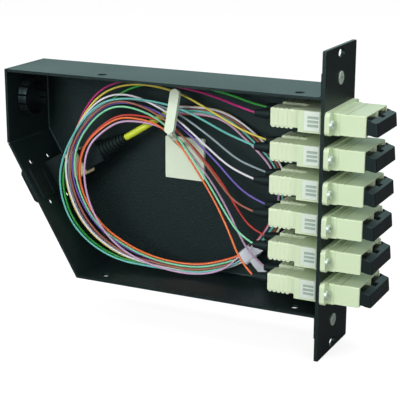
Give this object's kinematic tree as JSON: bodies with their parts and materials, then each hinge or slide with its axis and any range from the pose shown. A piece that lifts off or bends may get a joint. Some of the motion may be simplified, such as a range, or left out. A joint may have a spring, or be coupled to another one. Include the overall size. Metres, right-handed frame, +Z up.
{
  "type": "fibre cassette",
  "caption": "Plug-in sheet metal cassette that fans a multi-fibre trunk out to duplex push-pull ports on its front panel, shown open on one side.",
  "frame": {"origin": "centre of the two subrack fixing slots, on the rear face of the front panel", "axes": "+X out of the front panel, +Y towards the tray's closed back sheet, +Z up along the panel"},
  "size_m": [0.1741, 0.0354, 0.1284],
  "materials": {
    "black_coat": "fine textured powder coat",
    "zinc": "zinc plated",
    "spring_steel": "bright rolled strip",
    "ivory_plastic": "fine moulded satin",
    "black_plastic": "satin",
    "boot_rubber": "matte",
    "cream_plastic": "satin",
    "clip_plastic": "satin",
    "ceramic": "polished zirconia",
    "clear_tape": "translucent film",
    "trunk_jacket": "satin jacket",
    "tube_rose": "satin tube",
    "tube_green": "satin tube",
    "tube_turquoise": "satin tube",
    "tube_yellow": "satin tube",
    "tube_white": "satin tube",
    "tube_slate": "satin tube",
    "tube_brown": "satin tube",
    "tube_violet": "satin tube",
    "tube_mint": "satin tube",
    "tube_red": "satin tube",
    "tube_orange": "satin tube",
    "tube_lilac": "satin tube"
  },
  "bodies": {
    "cassette": {"tray": "black_coat", "front_panel": "black_coat", "panel_screws": "zinc", "clinch_nuts": "zinc", "adapter_1": "ivory_plastic", "adapter_2": "ivory_plastic", "adapter_3": "ivory_plastic", "adapter_4": "ivory_plastic", "adapter_5": "ivory_plastic", "adapter_6": "ivory_plastic", "adapter_screws": "zinc", "adapter_clips": "spring_steel", "alignment_sleeves": "ceramic", "ferrules": "ceramic", "plug_frames": "ivory_plastic", "plug_boots_near": "boot_rubber", "plug_boots_far": "boot_rubber", "fibre_rose": "tube_rose", "fibre_green": "tube_green", "fibre_turquoise": "tube_turquoise", "fibre_yellow": "tube_yellow", "fibre_white": "tube_white", "fibre_slate": "tube_slate", "fibre_brown": "tube_brown", "fibre_violet": "tube_violet", "fibre_mint": "tube_mint", "fibre_red": "tube_red", "fibre_orange": "tube_orange", "fibre_lilac": "tube_lilac", "trunk_adapter": "black_plastic", "blank_plug": "black_plastic", "trunk_plug_housing": "black_plastic", "trunk_plug_boot": "boot_rubber", "trunk_cable": "trunk_jacket", "hole_plug": "black_plastic", "cable_clip": "clip_plastic", "bundle_wrap": "clear_tape"},
    "plug_grip_1_near_slider": {"plug_grip_1_near": "ivory_plastic"},
    "plug_grip_1_far_slider": {"plug_grip_1_far": "ivory_plastic"},
    "plug_grip_2_near_slider": {"plug_grip_2_near": "ivory_plastic"},
    "plug_grip_2_far_slider": {"plug_grip_2_far": "ivory_plastic"},
    "plug_grip_3_near_slider": {"plug_grip_3_near": "ivory_plastic"},
    "plug_grip_3_far_slider": {"plug_grip_3_far": "ivory_plastic"},
    "plug_grip_4_near_slider": {"plug_grip_4_near": "ivory_plastic"},
    "plug_grip_4_far_slider": {"plug_grip_4_far": "ivory_plastic"},
    "plug_grip_5_near_slider": {"plug_grip_5_near": "ivory_plastic"},
    "plug_grip_5_far_slider": {"plug_grip_5_far": "ivory_plastic"},
    "plug_grip_6_near_slider": {"plug_grip_6_near": "ivory_plastic"},
    "plug_grip_6_far_slider": {"plug_grip_6_far": "ivory_plastic"},
    "dust_cap_1_slider": {"dust_cap_1": "black_plastic"},
    "dust_cap_2_slider": {"dust_cap_2": "black_plastic"},
    "dust_cap_3_slider": {"dust_cap_3": "black_plastic"},
    "dust_cap_4_slider": {"dust_cap_4": "black_plastic"},
    "dust_cap_5_slider": {"dust_cap_5": "black_plastic"},
    "dust_cap_6_slider": {"dust_cap_6": "black_plastic"},
    "trunk_cap_slider": {"trunk_cap": "black_plastic"},
    "trunk_plug_sleeve_slider": {"trunk_plug_sleeve": "cream_plastic"}
  },
  "joints": [
    {"name": "plug_grip_1_near_pull", "type": "slide", "parent": "cassette", "child": "plug_grip_1_near_slider", "axis": [-1, 0, 0], "range_m": [0, 0.0012]},
    {"name": "plug_grip_1_far_pull", "type": "slide", "parent": "cassette", "child": "plug_grip_1_far_slider", "axis": [-1, 0, 0], "range_m": [0, 0.0012]},
    {"name": "plug_grip_2_near_pull", "type": "slide", "parent": "cassette", "child": "plug_grip_2_near_slider", "axis": [-1, 0, 0], "range_m": [0, 0.0012]},
    {"name": "plug_grip_2_far_pull", "type": "slide", "parent": "cassette", "child": "plug_grip_2_far_slider", "axis": [-1, 0, 0], "range_m": [0, 0.0012]},
    {"name": "plug_grip_3_near_pull", "type": "slide", "parent": "cassette", "child": "plug_grip_3_near_slider", "axis": [-1, 0, 0], "range_m": [0, 0.0012]},
    {"name": "plug_grip_3_far_pull", "type": "slide", "parent": "cassette", "child": "plug_grip_3_far_slider", "axis": [-1, 0, 0], "range_m": [0, 0.0012]},
    {"name": "plug_grip_4_near_pull", "type": "slide", "parent": "cassette", "child": "plug_grip_4_near_slider", "axis": [-1, 0, 0], "range_m": [0, 0.0012]},
    {"name": "plug_grip_4_far_pull", "type": "slide", "parent": "cassette", "child": "plug_grip_4_far_slider", "axis": [-1, 0, 0], "range_m": [0, 0.0012]},
    {"name": "plug_grip_5_near_pull", "type": "slide", "parent": "cassette", "child": "plug_grip_5_near_slider", "axis": [-1, 0, 0], "range_m": [0, 0.0012]},
    {"name": "plug_grip_5_far_pull", "type": "slide", "parent": "cassette", "child": "plug_grip_5_far_slider", "axis": [-1, 0, 0], "range_m": [0, 0.0012]},
    {"name": "plug_grip_6_near_pull", "type": "slide", "parent": "cassette", "child": "plug_grip_6_near_slider", "axis": [-1, 0, 0], "range_m": [0, 0.0012]},
    {"name": "plug_grip_6_far_pull", "type": "slide", "parent": "cassette", "child": "plug_grip_6_far_slider", "axis": [-1, 0, 0], "range_m": [0, 0.0012]},
    {"name": "dust_cap_1_off", "type": "slide", "parent": "cassette", "child": "dust_cap_1_slider", "axis": [1, 0, 0], "range_m": [0, 0.012]},
    {"name": "dust_cap_2_off", "type": "slide", "parent": "cassette", "child": "dust_cap_2_slider", "axis": [1, 0, 0], "range_m": [0, 0.012]},
    {"name": "dust_cap_3_off", "type": "slide", "parent": "cassette", "child": "dust_cap_3_slider", "axis": [1, 0, 0], "range_m": [0, 0.012]},
    {"name": "dust_cap_4_off", "type": "slide", "parent": "cassette", "child": "dust_cap_4_slider", "axis": [1, 0, 0], "range_m": [0, 0.012]},
    {"name": "dust_cap_5_off", "type": "slide", "parent": "cassette", "child": "dust_cap_5_slider", "axis": [1, 0, 0], "range_m": [0, 0.012]},
    {"name": "dust_cap_6_off", "type": "slide", "parent": "cassette", "child": "dust_cap_6_slider", "axis": [1, 0, 0], "range_m": [0, 0.012]},
    {"name": "trunk_cap_off", "type": "slide", "parent": "cassette", "child": "trunk_cap_slider", "axis": [-0.8643, 0, -0.503], "range_m": [0, 0.01]},
    {"name": "trunk_sleeve_pull", "type": "slide", "parent": "cassette", "child": "trunk_plug_sleeve_slider", "axis": [0.8643, 0, 0.503], "range_m": [0, 0.002], "stiffness_N_per_m": 400, "springref_m": -0.001}
  ]
}
